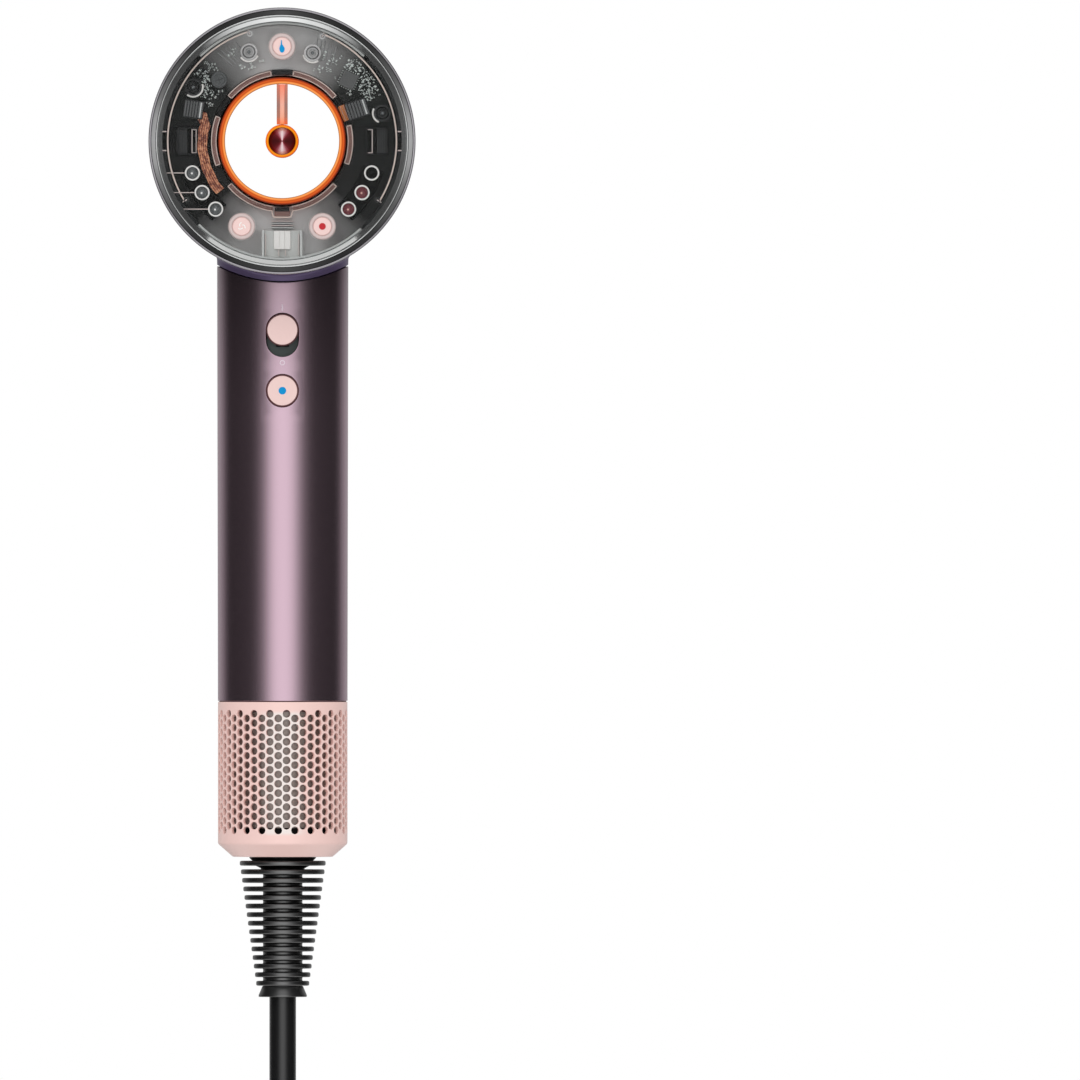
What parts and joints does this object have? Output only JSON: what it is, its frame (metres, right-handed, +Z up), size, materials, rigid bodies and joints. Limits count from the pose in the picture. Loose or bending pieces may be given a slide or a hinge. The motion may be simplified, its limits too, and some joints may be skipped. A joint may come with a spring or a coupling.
{
  "type": "travel hair dryer",
  "caption": "Hair dryer with an open bore through a round head, a clear rear cover over its controls, a straight tube handle, a pull-off filter cage and a mains lead folded into a tied hank.",
  "frame": {"origin": "on the handle's axis, at the middle of the grip where a hand holds the dryer up", "axes": "+Z up along the handle towards the head, +Y the way the air leaves the head, -Y the clear rear cover"},
  "size_m": [0.0772, 0.0972, 0.5837],
  "materials": {
    "purple_paint": "satin paint",
    "mauve_metal": "anodised satin",
    "pink_plastic": "satin",
    "clear_plastic": "polished clear",
    "light_guide": "translucent",
    "black_rubber": "satin",
    "dark_plastic": "fine texture",
    "board_laminate": "solder mask",
    "glowing_guide": "lit from behind",
    "copper_foil": "satin",
    "steel": "satin",
    "mica": "matt",
    "sensor_metal": "spun"
  },
  "bodies": {
    "body": {"head_shell": "purple_paint", "rear_cover": "clear_plastic", "cover_gasket": "black_rubber", "glow_ring": "glowing_guide", "bore_liner": "pink_plastic", "control_frame": "dark_plastic", "main_board": "board_laminate", "flex_cable": "copper_foil", "light_pipe_left": "light_guide", "light_pipe_right": "light_guide", "connector_left": "dark_plastic", "connector_right": "dark_plastic", "board_capacitor": "steel", "board_chip": "dark_plastic", "frame_screw_1": "steel", "frame_screw_2": "steel", "frame_screw_3": "steel", "frame_screw_4": "steel", "sensor_pod": "dark_plastic", "pod_glow_ring": "glowing_guide", "sensor_cone": "sensor_metal", "sensor_strut": "mauve_metal", "heater_former": "mica", "heater_coil": "steel", "heater_sleeve": "mica", "thermal_cutout": "steel", "outlet_ring": "steel", "handle_tube": "mauve_metal", "switch_housing": "dark_plastic", "switch_block": "dark_plastic", "switch_board": "board_laminate", "filter_mesh": "steel", "intake_frame": "dark_plastic", "end_plate": "black_rubber", "supply_lead": "black_rubber", "strain_relief": "black_rubber", "motor_housing": "steel", "motor_mount": "black_rubber", "stator_core": "steel", "stator_winding": "copper_foil", "bearing_lower": "steel", "bearing_upper": "steel", "diffuser": "dark_plastic", "cord_lead": "black_rubber", "cord_hank": "black_rubber", "hank_tie": "black_rubber", "cord_tail": "black_rubber", "plug_body": "black_rubber", "plug_pin_left": "steel", "plug_pin_right": "steel"},
    "rotor": {"impeller": "dark_plastic", "rotor_shaft": "steel"},
    "slider": {"power_slider": "pink_plastic"},
    "cool": {"cool_button": "pink_plastic"},
    "temperature": {"temperature_button": "pink_plastic"},
    "airflow": {"airflow_button": "pink_plastic"},
    "mode": {"mode_button": "pink_plastic"},
    "cage": {"filter_cage": "pink_plastic"}
  },
  "joints": [
    {"name": "rotor_spin", "type": "hinge", "parent": "body", "child": "rotor", "pos_m": [0, 0, -0.0275], "axis": [0, 0, 1], "continuous": true},
    {"name": "power_slide", "type": "slide", "parent": "body", "child": "slider", "axis": [0, 0, -1], "range_m": [0, 0.0029]},
    {"name": "cool_press", "type": "slide", "parent": "body", "child": "cool", "axis": [0, 1, 0], "range_m": [0, 0.001], "stiffness_N_per_m": 800, "springref_m": -0.001},
    {"name": "temperature_press", "type": "slide", "parent": "body", "child": "temperature", "axis": [0, 1, 0], "range_m": [0, 0.0006], "stiffness_N_per_m": 900, "springref_m": -0.001},
    {"name": "airflow_press", "type": "slide", "parent": "body", "child": "airflow", "axis": [0, 1, 0], "range_m": [0, 0.0006], "stiffness_N_per_m": 900, "springref_m": -0.001},
    {"name": "mode_press", "type": "slide", "parent": "body", "child": "mode", "axis": [0, 1, 0], "range_m": [0, 0.0006], "stiffness_N_per_m": 900, "springref_m": -0.001},
    {"name": "cage_pull", "type": "slide", "parent": "body", "child": "cage", "axis": [0, 0, -1], "range_m": [0, 0.05]}
  ]
}
